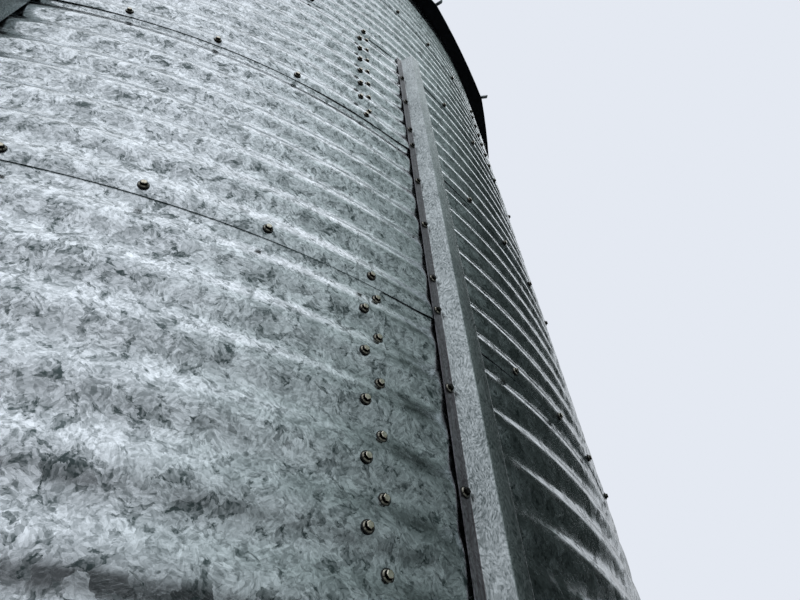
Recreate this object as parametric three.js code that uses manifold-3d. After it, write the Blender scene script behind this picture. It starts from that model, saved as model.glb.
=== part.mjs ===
// Grain silo: a bolted bin of corrugated galvanised sheets on level ground.
// Seven rings of sheets make the wall, folded stiffeners stand outside the
// lower five, and a cone of flat ribbed panels with a peak cap closes the top.
// Millimetres, +Z up, origin on the silo's axis at ground level, -Y is the front.

import * as THREE from "three";
import { mergeVertices } from "three/addons/utils/BufferGeometryUtils.js";
import Module from "manifold-3d";

// Driving dimensions of the wall
const RING_HEIGHT = 833; // one row of sheets, lap bolt to lap bolt
const RING_COUNT = 7;
const WAVES_PER_RING = 7; // corrugations in one ring, with crests on the lap bolts
const WAVE_DEPTH = 12; // crest to valley
const CREST_RADIUS = 2156; // axis to the outside of a crest
const SHEET_THICKNESS = 4; // behind a valley, thicker than the real sheet
const BOLTS_ROUND = 55; // lap bolts in one full circle
const SHEETS_ROUND = 5;
const FIRST_BOLT_AZIMUTH = 9.78; // degrees from -Y towards +X
const FIT_GAP = 0.3; // between pieces that touch

// Bolt number of the first vertical seam of each ring, from the ground up
const RING_SEAMS = [0, 6, 0, 6, 0, 4, 0];
const BRACED_RINGS = 5; // rings with stiffeners outside them

// Bolt numbers where a wall facet ends, within the eleven bolts of one sheet
const BRACED_STOPS = [0, 1, 2, 4, 6, 7, 8, 9.5];
const PLAIN_STOPS = [0, 1, 2.5, 4, 5.5, 7, 8, 9.5];

// Driving dimensions of the stiffeners: a bolted flange, a sloping web, a crown
// and a plain web that stands square on the crests
const STIFFENER_BOLTS = [1, 7]; // bolt numbers within one sheet
const STIFFENER_TOP_DROP = 8; // from the lap bolts of the last braced ring
const POST_DEPTH = 48;
const POST_CROWN_WIDTH = 48;
const POST_PLAIN_SIDE = 20; // from the line of the lap bolt to the plain web
const POST_WEB_RUN = 16.5; // how far the sloping web leans
const POST_FLANGE_WIDTH = 25;
const POST_THICKNESS = 3;
const FOOT_WIDTH = 170;
const FOOT_REACH = 100;
const FOOT_THICKNESS = 8;

// Driving dimensions of the roof
const ROOF_PANELS = 19;
const SECTION_PANELS = [4, 4, 4, 4, 3]; // panels of each roof section
const ROOF_PITCH = 30; // degrees, down the middle of a panel
const EAVE_RADIUS = 2250; // axis to a corner of the eave
const EAVE_BOW = 13; // how far the middle of a panel's eave edge bows out
const ROOF_THICKNESS = 4;
const ROOF_FIRST_AZIMUTH = 6.23; // degrees, the first corner of the eave
const RIB_WIDTH = 20;
const RIB_HEIGHT = 25;
const RIB_SINK = 2; // how far a rib is set into the panels
const RIB_REACH = 35; // past the corner of the eave
const RIB_START = 339; // axis to the inner end of a rib
const RIB_COVER = 1; // how far a section's first rib stands over its edge
const PEAK_OPENING = 300; // axis to the inner corners of the panels

// Driving dimensions of the peak and the foot of the wall
const COLLAR_RADIUS = 291;
const COLLAR_THICKNESS = 6;
const COLLAR_HEIGHT = 62; // above the underside of the panels
const COLLAR_FLANGE_RADIUS = 390;
const CAP_RADIUS = 350;
const CAP_PITCH = 24;
const CAP_THICKNESS = 4;
const BASE_ANGLE_LEG = 60;
const BASE_ANGLE_THICKNESS = 5;

// Values worked out from the driving dimensions
const WAVE_PITCH = RING_HEIGHT / WAVES_PER_RING;
const LAP_DROP = WAVE_PITCH / 4; // lower edge of a sheet below its lap bolts
const VALLEY_RADIUS = CREST_RADIUS - WAVE_DEPTH;
const INNER_RADIUS = VALLEY_RADIUS - SHEET_THICKNESS;
const WALL_TOP = RING_COUNT * RING_HEIGHT;
const BOLT_ANGLE = (2 * Math.PI) / BOLTS_ROUND;
const BOLTS_PER_SHEET = BOLTS_ROUND / SHEETS_ROUND;
const PANEL_ANGLE = (2 * Math.PI) / ROOF_PANELS;
const PANEL_SLOPE = Math.tan(THREE.MathUtils.degToRad(ROOF_PITCH));
const HIP_SLOPE = PANEL_SLOPE * Math.cos(PANEL_ANGLE / 2);

const wasm = await Module();
wasm.setup();

// Azimuth of a bolt column, in radians from -Y towards +X
function boltAzimuth(bolt) {
  return THREE.MathUtils.degToRad(FIRST_BOLT_AZIMUTH) + bolt * BOLT_ANGLE;
}

// A point at a radius, azimuth and height
function polar(radius, azimuth, height) {
  return new THREE.Vector3(radius * Math.sin(azimuth), -radius * Math.cos(azimuth), height);
}

// A geometry from corner points and triangles of their numbers
function geometryFrom(points, triangles) {
  const geometry = new THREE.BufferGeometry();
  geometry.setAttribute("position", new THREE.Float32BufferAttribute(points.flatMap((p) => p.toArray()), 3));
  geometry.setIndex(triangles.flat());
  geometry.computeVertexNormals();
  return geometry;
}

// A section of [radius, height] corners, counter-clockwise, carried round the
// axis through the azimuths in turn. A full turn is joined to its own start.
function carriedRound(section, azimuths, fullTurn) {
  const corners = section.length;
  const points = azimuths.flatMap((azimuth) => section.map(([r, z]) => polar(r, azimuth, z)));
  const triangles = [];
  const spans = fullTurn ? azimuths.length : azimuths.length - 1;
  for (let i = 0; i < spans; i += 1) {
    const here = i * corners;
    const there = ((i + 1) % azimuths.length) * corners;
    for (let j = 0; j < corners; j += 1) {
      const next = (j + 1) % corners;
      triangles.push([here + j, there + j, there + next], [here + j, there + next, here + next]);
    }
  }
  if (!fullTurn) {
    const contour = section.map(([r, z]) => new THREE.Vector2(r, z));
    const last = (azimuths.length - 1) * corners;
    for (const [a, b, c] of THREE.ShapeUtils.triangulateShape(contour, [])) {
      triangles.push([a, b, c], [last + c, last + b, last + a]);
    }
  }
  return geometryFrom(points, triangles);
}

// A geometry as a manifold solid, and back again
function toSolid(geometry) {
  const bare = geometry.clone();
  bare.deleteAttribute("normal");
  bare.deleteAttribute("uv");
  const merged = mergeVertices(bare);
  return new wasm.Manifold(
    new wasm.Mesh({
      numProp: 3,
      vertProperties: new Float32Array(merged.attributes.position.array),
      triVerts: new Uint32Array(merged.index.array),
    }),
  );
}

function fromSolid(solid) {
  const mesh = solid.getMesh();
  const geometry = new THREE.BufferGeometry();
  geometry.setAttribute("position", new THREE.BufferAttribute(mesh.vertProperties, mesh.numProp));
  geometry.setIndex(new THREE.BufferAttribute(mesh.triVerts, 1));
  geometry.computeVertexNormals();
  return geometry;
}

function joined(geometries) {
  return fromSolid(geometries.map(toSolid).reduce((whole, piece) => whole.add(piece)));
}

// Outside line of one ring from its lower to its upper edge, as [radius, height]
function waveLine(ring) {
  const low = ring === 0 ? 0 : ring * RING_HEIGHT - LAP_DROP + FIT_GAP / 2;
  const high = ring === RING_COUNT - 1 ? WALL_TOP : (ring + 1) * RING_HEIGHT - LAP_DROP - FIT_GAP / 2;
  const radiusAt = (height) => {
    const phase = Math.abs((height / WAVE_PITCH) % 1);
    return CREST_RADIUS - 2 * WAVE_DEPTH * Math.min(phase, 1 - phase);
  };
  const line = [[radiusAt(low), low]];
  const halfPitch = WAVE_PITCH / 2;
  for (let half = Math.floor(low / halfPitch) + 1; half * halfPitch < high - 1; half += 1) {
    line.push([half % 2 === 0 ? CREST_RADIUS : VALLEY_RADIUS, half * halfPitch]);
  }
  line.push([radiusAt(high), high]);
  return line;
}

// Azimuths of the facet ends of one sheet, with the seam gap left at both ends
function sheetAzimuths(seam, stops) {
  const bolts = [seam];
  for (let turn = 0; turn < 3; turn += 1) {
    for (const stop of stops) {
      const bolt = stop + turn * BOLTS_PER_SHEET;
      if (bolt > seam && bolt < seam + BOLTS_PER_SHEET) bolts.push(bolt);
    }
  }
  bolts.push(seam + BOLTS_PER_SHEET);
  const azimuths = bolts.map(boltAzimuth);
  const trim = FIT_GAP / 2 / CREST_RADIUS;
  azimuths[0] += trim;
  azimuths[azimuths.length - 1] -= trim;
  return azimuths;
}

// One wall sheet: corrugated outside, plain inside
function wallSheet(ring) {
  const outside = waveLine(ring);
  const top = outside[outside.length - 1][1];
  const section = [...outside, [INNER_RADIUS, top], [INNER_RADIUS, outside[0][1]]];
  const stops = ring < BRACED_RINGS ? BRACED_STOPS : PLAIN_STOPS;
  return carriedRound(section, sheetAzimuths(RING_SEAMS[ring], stops), false);
}

// One stiffener and its foot plate, with Y outwards from the crests and its
// flange on the +X side, where it lies along the wall facet behind it.
function stiffener() {
  const lean = Math.tan(BOLT_ANGLE / 2);
  const seat = (x) => FIT_GAP / Math.cos(BOLT_ANGLE / 2) - lean * Math.abs(x);
  const plain = -POST_PLAIN_SIDE;
  const crown = plain + POST_CROWN_WIDTH;
  const fold = crown + POST_WEB_RUN;
  const edge = fold + POST_FLANGE_WIDTH;
  const inside = POST_DEPTH - POST_THICKNESS;
  const webLength = Math.hypot(POST_WEB_RUN, POST_DEPTH);
  const webStep = (POST_THICKNESS * webLength) / POST_DEPTH; // web thickness along X
  const flangeTurn = (POST_THICKNESS * POST_WEB_RUN) / POST_DEPTH;
  const outline = new THREE.Shape(
    [
      [edge, seat(edge)],
      [edge, seat(edge) + POST_THICKNESS],
      [fold - flangeTurn, seat(fold) + POST_THICKNESS],
      [crown, POST_DEPTH],
      [plain, POST_DEPTH],
      [plain, seat(plain)],
      [plain + POST_THICKNESS, seat(plain + POST_THICKNESS)],
      [plain + POST_THICKNESS, inside],
      [crown - webStep + flangeTurn, inside],
      [fold - webStep, seat(fold - webStep)],
    ].map(([x, y]) => new THREE.Vector2(x, y)),
  );
  const height = BRACED_RINGS * RING_HEIGHT - STIFFENER_TOP_DROP;
  const post = new THREE.ExtrudeGeometry(outline, { depth: height, bevelEnabled: false });
  const foot = new THREE.BoxGeometry(FOOT_WIDTH, FOOT_REACH, FOOT_THICKNESS);
  foot.translate(0, FOOT_REACH / 2 + 1, FOOT_THICKNESS / 2);
  return joined([post, foot]);
}

// Height of the underside of the roof on a corner line, at a corner radius
function hipUnderside(radius) {
  const seatRadius = CREST_RADIUS / Math.cos(PANEL_ANGLE / 2);
  return WALL_TOP + FIT_GAP + (seatRadius - radius) * HIP_SLOPE;
}

// Azimuth of a corner line of the roof
function hipAzimuth(hip) {
  return THREE.MathUtils.degToRad(ROOF_FIRST_AZIMUTH) + hip * PANEL_ANGLE;
}

// A point on a corner line, moved sideways in the plane of the panel that
// starts there (towards 1) or ends there (towards -1)
function besideHip(hip, radius, side, lift, towards) {
  const azimuth = hipAzimuth(hip);
  const point = polar(radius, azimuth, hipUnderside(radius) + lift);
  const along = new THREE.Vector3(Math.cos(azimuth), Math.sin(azimuth), 0);
  point.addScaledVector(along, side);
  point.z -= towards * side * PANEL_SLOPE * Math.sin(PANEL_ANGLE / 2);
  return point;
}

// A point half way between two corner lines, bowed outwards in the panel's plane
function midPanel(hip, radius, bow, lift) {
  const middle = radius * Math.cos(PANEL_ANGLE / 2) + bow;
  return polar(middle, hipAzimuth(hip + 0.5), hipUnderside(radius) - bow * PANEL_SLOPE + lift);
}

// One rib along a corner line, over the joint of two panels
function roofRib(hip) {
  const pitch = Math.atan(HIP_SLOPE);
  const length = (EAVE_RADIUS + RIB_REACH - RIB_START) / Math.cos(pitch);
  const rib = new THREE.BoxGeometry(length, RIB_WIDTH, RIB_HEIGHT + RIB_SINK);
  const lift = ROOF_THICKNESS / Math.cos(pitch);
  rib.translate(length / 2, 0, (RIB_HEIGHT - RIB_SINK) / 2);
  rib.rotateY(pitch);
  rib.translate(RIB_START, 0, hipUnderside(RIB_START) + lift);
  rib.rotateZ(hipAzimuth(hip) - Math.PI / 2);
  return rib;
}

// One roof section: flat panels side by side, with a rib over every joint
function roofSection(firstHip, panels) {
  const thick = ROOF_THICKNESS / Math.cos(Math.atan(PANEL_SLOPE));
  const edges = [
    { radius: PEAK_OPENING, bow: 0, lift: 0 },
    { radius: EAVE_RADIUS, bow: EAVE_BOW, lift: 0 },
    { radius: EAVE_RADIUS, bow: EAVE_BOW, lift: thick },
    { radius: PEAK_OPENING, bow: 0, lift: thick },
  ];
  const points = [];
  for (let i = 0; i <= panels; i += 1) {
    const firstSide = i === 0 ? RIB_COVER - RIB_WIDTH / 2 : 0;
    const side = i === panels ? -RIB_WIDTH / 2 - FIT_GAP : firstSide;
    const towards = i === panels ? -1 : 1;
    const hip = firstHip + i;
    for (const edge of edges) points.push(besideHip(hip, edge.radius, side, edge.lift, towards));
    if (i === panels) break;
    for (const edge of edges) points.push(midPanel(hip, edge.radius, edge.bow, edge.lift));
  }
  const triangles = [];
  const spans = 2 * panels;
  for (let i = 0; i < spans; i += 1) {
    for (let j = 0; j < 4; j += 1) {
      const a = 4 * i + j;
      const b = 4 * i + ((j + 1) % 4);
      triangles.push([a, a + 4, b + 4], [a, b + 4, b]);
    }
  }
  const last = 4 * spans;
  triangles.push([0, 1, 2], [0, 2, 3], [last + 2, last + 1, last], [last + 3, last + 2, last]);
  const ribs = [];
  for (let i = 0; i < panels; i += 1) ribs.push(roofRib(firstHip + i));
  return joined([geometryFrom(points, triangles), ...ribs]);
}

// The collar at the peak, with a flange under the panels' inner ends
function peakCollar() {
  const inside = COLLAR_RADIUS - COLLAR_THICKNESS;
  const flangeTop = (radius) => hipUnderside(radius) - FIT_GAP;
  const top = hipUnderside(COLLAR_RADIUS) + COLLAR_HEIGHT;
  const section = [
    [inside, flangeTop(inside) - COLLAR_THICKNESS],
    [COLLAR_FLANGE_RADIUS, flangeTop(COLLAR_FLANGE_RADIUS) - COLLAR_THICKNESS],
    [COLLAR_FLANGE_RADIUS, flangeTop(COLLAR_FLANGE_RADIUS)],
    [COLLAR_RADIUS, flangeTop(COLLAR_RADIUS)],
    [COLLAR_RADIUS, top],
    [inside, top],
  ];
  const azimuths = Array.from({ length: ROOF_PANELS }, (_, hip) => hipAzimuth(hip));
  return carriedRound(section, azimuths, true);
}

// The conical cap that sits on the collar
function peakCap() {
  const slope = Math.tan(THREE.MathUtils.degToRad(CAP_PITCH));
  const seat = hipUnderside(COLLAR_RADIUS) + COLLAR_HEIGHT + FIT_GAP;
  const under = (radius) => seat + (COLLAR_RADIUS - radius) * slope;
  const line = [
    [0, under(0)],
    [CAP_RADIUS, under(CAP_RADIUS)],
    [CAP_RADIUS, under(CAP_RADIUS) + CAP_THICKNESS],
    [0, under(0) + CAP_THICKNESS],
  ];
  const profile = line.map(([radius, height]) => new THREE.Vector2(radius, height));
  const cap = new THREE.LatheGeometry(profile, ROOF_PANELS, hipAzimuth(0), 2 * Math.PI);
  cap.rotateX(Math.PI / 2);
  return cap;
}

// The angle ring that ties the foot of the wall, inside the lowest sheets
function baseAngle() {
  const outer = INNER_RADIUS - FIT_GAP;
  const section = [
    [outer - BASE_ANGLE_LEG, 0],
    [outer, 0],
    [outer, BASE_ANGLE_LEG],
    [outer - BASE_ANGLE_THICKNESS, BASE_ANGLE_LEG],
    [outer - BASE_ANGLE_THICKNESS, BASE_ANGLE_THICKNESS],
    [outer - BASE_ANGLE_LEG, BASE_ANGLE_THICKNESS],
  ];
  const azimuths = [];
  for (let sheet = 0; sheet < SHEETS_ROUND; sheet += 1) {
    for (const stop of BRACED_STOPS) azimuths.push(boltAzimuth(sheet * BOLTS_PER_SHEET + stop));
  }
  return carriedRound(section, azimuths, true);
}

// Finishes
const sheetZinc = new THREE.MeshStandardMaterial({ color: 0x9aa3a6, roughness: 0.42, metalness: 0.9 });
const stiffenerZinc = new THREE.MeshStandardMaterial({ color: 0x8b9190, roughness: 0.5, metalness: 0.85 });
const roofZinc = new THREE.MeshStandardMaterial({ color: 0x7f878a, roughness: 0.45, metalness: 0.9 });
const baseZinc = new THREE.MeshStandardMaterial({ color: 0x747b7c, roughness: 0.55, metalness: 0.85 });

const silo = new THREE.Group();

function place(name, geometry, material, parent = silo) {
  const mesh = new THREE.Mesh(geometry, material);
  mesh.name = name;
  parent.add(mesh);
  return mesh;
}

for (let ring = 0; ring < RING_COUNT; ring += 1) {
  const sheet = wallSheet(ring);
  for (let number = 0; number < SHEETS_ROUND; number += 1) {
    const piece = place(`wall_ring_${ring + 1}_sheet_${number + 1}`, sheet.clone(), sheetZinc);
    piece.rotation.z = number * BOLTS_PER_SHEET * BOLT_ANGLE;
  }
}

const stiffenerShape = stiffener();
for (let sheet = 0; sheet < SHEETS_ROUND; sheet += 1) {
  STIFFENER_BOLTS.forEach((bolt, which) => {
    const azimuth = boltAzimuth(sheet * BOLTS_PER_SHEET + bolt);
    const name = `stiffener_${sheet * STIFFENER_BOLTS.length + which + 1}`;
    const piece = place(name, stiffenerShape.clone(), stiffenerZinc);
    piece.position.copy(polar(CREST_RADIUS, azimuth, 0));
    piece.rotation.z = azimuth + Math.PI;
  });
}

let firstHip = 0;
SECTION_PANELS.forEach((panels, section) => {
  place(`roof_section_${section + 1}`, roofSection(firstHip, panels), roofZinc);
  firstHip += panels;
});

place("peak_collar", peakCollar(), roofZinc);
place("peak_cap", peakCap(), roofZinc);
place("base_angle", baseAngle(), baseZinc);

export default silo;
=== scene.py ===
"""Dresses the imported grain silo: corrugated zinc sheets, stiffeners, roof, bolts and studio."""

import logging
import math
from dataclasses import dataclass
from enum import Enum
from functools import partial
from typing import Any, Callable, Iterable, Mapping, Sequence

import bmesh
import bpy
from mathutils import Matrix, Vector


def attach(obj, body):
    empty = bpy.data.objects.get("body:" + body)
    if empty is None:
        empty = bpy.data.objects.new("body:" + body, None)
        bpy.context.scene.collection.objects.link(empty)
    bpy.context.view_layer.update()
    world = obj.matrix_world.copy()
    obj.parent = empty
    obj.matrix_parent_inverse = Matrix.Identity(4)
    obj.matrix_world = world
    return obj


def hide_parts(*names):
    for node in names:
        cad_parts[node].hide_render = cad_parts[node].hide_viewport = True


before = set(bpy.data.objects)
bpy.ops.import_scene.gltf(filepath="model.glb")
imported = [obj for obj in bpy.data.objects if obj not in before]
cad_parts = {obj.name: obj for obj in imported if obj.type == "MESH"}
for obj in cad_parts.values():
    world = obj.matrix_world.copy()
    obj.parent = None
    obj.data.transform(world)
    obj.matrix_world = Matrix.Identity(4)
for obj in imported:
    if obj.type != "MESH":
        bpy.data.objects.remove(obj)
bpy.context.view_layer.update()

LOG = logging.getLogger("grain_silo")
BODY = "root"
SHARP_EDGE = math.radians(34)
PATTERN_MAP = "sheet_pattern"
MIDDLE_COLOUR = (0.5, 0.5, 0.5)  # the mean of random colours

Socket = bpy.types.NodeSocket
Adder = Callable[..., Sequence[Socket]]
Look = dict[str, Any]  # a shader's inputs by name
Pair = tuple[float, float]
Course = tuple[float, float, float, float]  # where a value begins and ends, and what it becomes there


def mm(value: float) -> float:
    """Turns millimetres into metres."""
    return value / 1000.0


def arc(start: float, end: float) -> Pair:
    """Turns two angles from degrees into radians."""
    return math.radians(start), math.radians(end)


def linear(hex_colour: str) -> tuple[float, float, float, float]:
    """Turns an sRGB hex colour into linear light.

    Args:
        hex_colour: Six hex digits.

    Returns:
        Red, green and blue in linear light, and an alpha of 1.
    """
    channels = [int(hex_colour[i : i + 2], 16) / 255 for i in (0, 2, 4)]
    red, green, blue = (c / 12.92 if c <= 0.04045 else ((c + 0.055) / 1.055) ** 2.4 for c in channels)
    return red, green, blue, 1.0


class Kind(Enum):
    """Nodes that the trees use again and again, each with its type and its settings."""

    ADD = ("ShaderNodeMath", {"operation": "ADD"})
    SUBTRACT = ("ShaderNodeMath", {"operation": "SUBTRACT"})
    MULTIPLY = ("ShaderNodeMath", {"operation": "MULTIPLY"})
    MULTIPLY_ADD = ("ShaderNodeMath", {"operation": "MULTIPLY_ADD"})
    DIVIDE = ("ShaderNodeMath", {"operation": "DIVIDE"})
    VECTOR = ("ShaderNodeVectorMath", {})
    RANGE = ("ShaderNodeMapRange", {})
    FADE = ("ShaderNodeMapRange", {"interpolation_type": "SMOOTHSTEP"})
    MIX = ("ShaderNodeMix", {"data_type": "RGBA"})
    PLACE = ("ShaderNodeTexCoord", {})
    NOISE = ("ShaderNodeTexNoise", {})
    CELLS = ("ShaderNodeTexVoronoi", {})
    FLAT_CELLS = ("ShaderNodeTexVoronoi", {"voronoi_dimensions": "2D"})
    MAPPING = ("ShaderNodeMapping", {})
    TURN = ("ShaderNodeVectorRotate", {"rotation_type": "Z_AXIS"})
    CHANNELS = ("ShaderNodeSeparateColor", {})
    SPLIT = ("ShaderNodeSeparateXYZ", {})
    JOIN = ("ShaderNodeCombineXYZ", {})
    NORMAL = ("ShaderNodeNewGeometry", {})
    BUMP = ("ShaderNodeBump", {})
    LIGHT = ("ShaderNodeBackground", {})
    INSTANCES = ("GeometryNodeInstanceOnPoints", {})
    MOVE = ("GeometryNodeTransform", {})
    STORED = ("GeometryNodeInputNamedAttribute", {})


def add_node(
    tree: bpy.types.NodeTree,
    kind: Kind | str,
    *values: Any,
    named: Mapping[Any, Any] | None = None,
    **settings: Any,
) -> Sequence[Socket]:
    """Adds a node with its settings, and feeds its inputs with values or with other nodes' outputs.

    Args:
        tree: The node tree that gets the node.
        kind: The kind of node, or its type's name.
        *values: A value or an output socket for each of the first inputs.
        named: Values and output sockets for further inputs, by name or number.
        **settings: Further properties of the node.

    Returns:
        The new node's outputs.
    """
    type_name, fixed = kind.value if isinstance(kind, Kind) else (kind, {})
    node = tree.nodes.new(type_name)
    for name, value in {**fixed, **settings}.items():
        setattr(node, name, value)
    for key, value in (*enumerate(values), *(named or {}).items()):
        if isinstance(value, Socket):
            tree.links.new(value, node.inputs[key])
        else:
            node.inputs[key].default_value = value
    return node.outputs


@dataclass(frozen=True)
class SiloPlan:
    """The silo's driving sizes, in metres and radians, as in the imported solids."""

    ring_height: float = mm(833)
    rings: int = 7
    waves_per_ring: int = 7
    wave_depth: float = mm(10)
    wave_rise: float = mm(9)  # of each crest above the lap bolts' level
    crest_radius: float = mm(2156)
    bolts_round: int = 55
    sheets_round: int = 5
    first_azimuth: float = math.radians(9.78)
    ring_seams: tuple[int, ...] = (0, 6, 0, 6, 0, 4, 0)
    braced_rings: int = 5
    stiffener_bolts: tuple[int, ...] = (1, 7)
    seat_gap: float = mm(0.3)

    @property
    def wave_pitch(self) -> float:
        """Height of one corrugation."""
        return self.ring_height / self.waves_per_ring

    @property
    def bolt_angle(self) -> float:
        """Angle from one lap bolt to the next."""
        return 2 * math.pi / self.bolts_round

    @property
    def bolts_per_sheet(self) -> int:
        """Bolt spacings that one sheet covers."""
        return self.bolts_round // self.sheets_round

    @property
    def wall_top(self) -> float:
        """Height of the wall's upper edge."""
        return self.rings * self.ring_height

    def azimuth(self, bolt: float) -> float:
        """Azimuth of a bolt number, from -Y towards +X."""
        return self.first_azimuth + bolt * self.bolt_angle

    def point(self, radius: float, azimuth: float, height: float) -> Vector:
        """A point at a radius, azimuth and height."""
        return Vector((radius * math.sin(azimuth), -radius * math.cos(azimuth), height))

    def crest_to(self, height: float) -> float:
        """How far the corrugation lies inside its crest at a height."""
        turn = 2 * math.pi * (height - self.wave_rise) / self.wave_pitch
        return self.wave_depth / 2 * (1 - math.cos(turn))

    def braced_bolts(self, end: int) -> list[int]:
        """Bolt numbers below an end number that have a stiffener over them, in order."""
        return [bolt for bolt in range(end) if bolt % self.bolts_per_sheet in self.stiffener_bolts]

    def stiffener_azimuths(self) -> list[float]:
        """Azimuths of the stiffeners, in the order of their nodes."""
        return [self.azimuth(bolt) for bolt in self.braced_bolts(self.bolts_round)]


@dataclass(frozen=True)
class SheetLap:
    """How the thin sheets lie over each other."""

    thickness: float = mm(1.6)
    overlap: float = mm(26)  # of a sheet's lower edge below its lap bolts
    side_overlap: float = 0.13  # of a bolt spacing, past the seam's middle
    side_ramp: float = 1.2  # bolt spacings over which a sheet's end climbs onto its neighbour
    lift: float = mm(2.6)  # how far the lower edge stands off beside a stiffener
    lift_width: float = 0.75  # of a bolt spacing
    press: float = 0.8  # share of the wave that a bolted flange presses out
    press_offset: float = mm(52)  # of the flange from the line of the lap bolt
    press_width: float = mm(46)


@dataclass(frozen=True)
class Finish:
    """What every finish has. Each kind of finish says how it looks."""

    name: str
    light: str
    dark: str
    roughness: float
    metallic: float = 1.0

    def build(self) -> bpy.types.Material:
        """Builds the material.

        Returns:
            The finished material.
        """
        material = bpy.data.materials.new(self.name)
        material.use_nodes = True
        material.node_tree.nodes.clear()
        add = partial(add_node, material.node_tree)
        drawn = {"Metallic": self.metallic, **self.look(add)}
        add("ShaderNodeOutputMaterial", add("ShaderNodeBsdfPrincipled", named=drawn)[0])
        return material

    def look(self, add: Adder) -> Look:
        """Draws the finish. Each kind of finish has its own way.

        Args:
            add: Adds a node to the material's tree.

        Returns:
            The shader's inputs by name.
        """
        raise NotImplementedError

    def spread(self, gloss: Pair) -> Pair:
        """The roughness with the first and with the second of a pair added."""
        return self.roughness + gloss[0], self.roughness + gloss[1]

    def between(self, add: Adder, share: Socket) -> Socket:
        """A colour between the dark one and the light one."""
        return add(Kind.MIX, share, named={6: linear(self.dark), 7: linear(self.light)})[2]


@dataclass(frozen=True)
class Leaves:
    """One layer of dark pointed leaves: their size, the way they lie and how many cells hold one."""

    length: float
    width: float
    turn: float
    share: float


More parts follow.
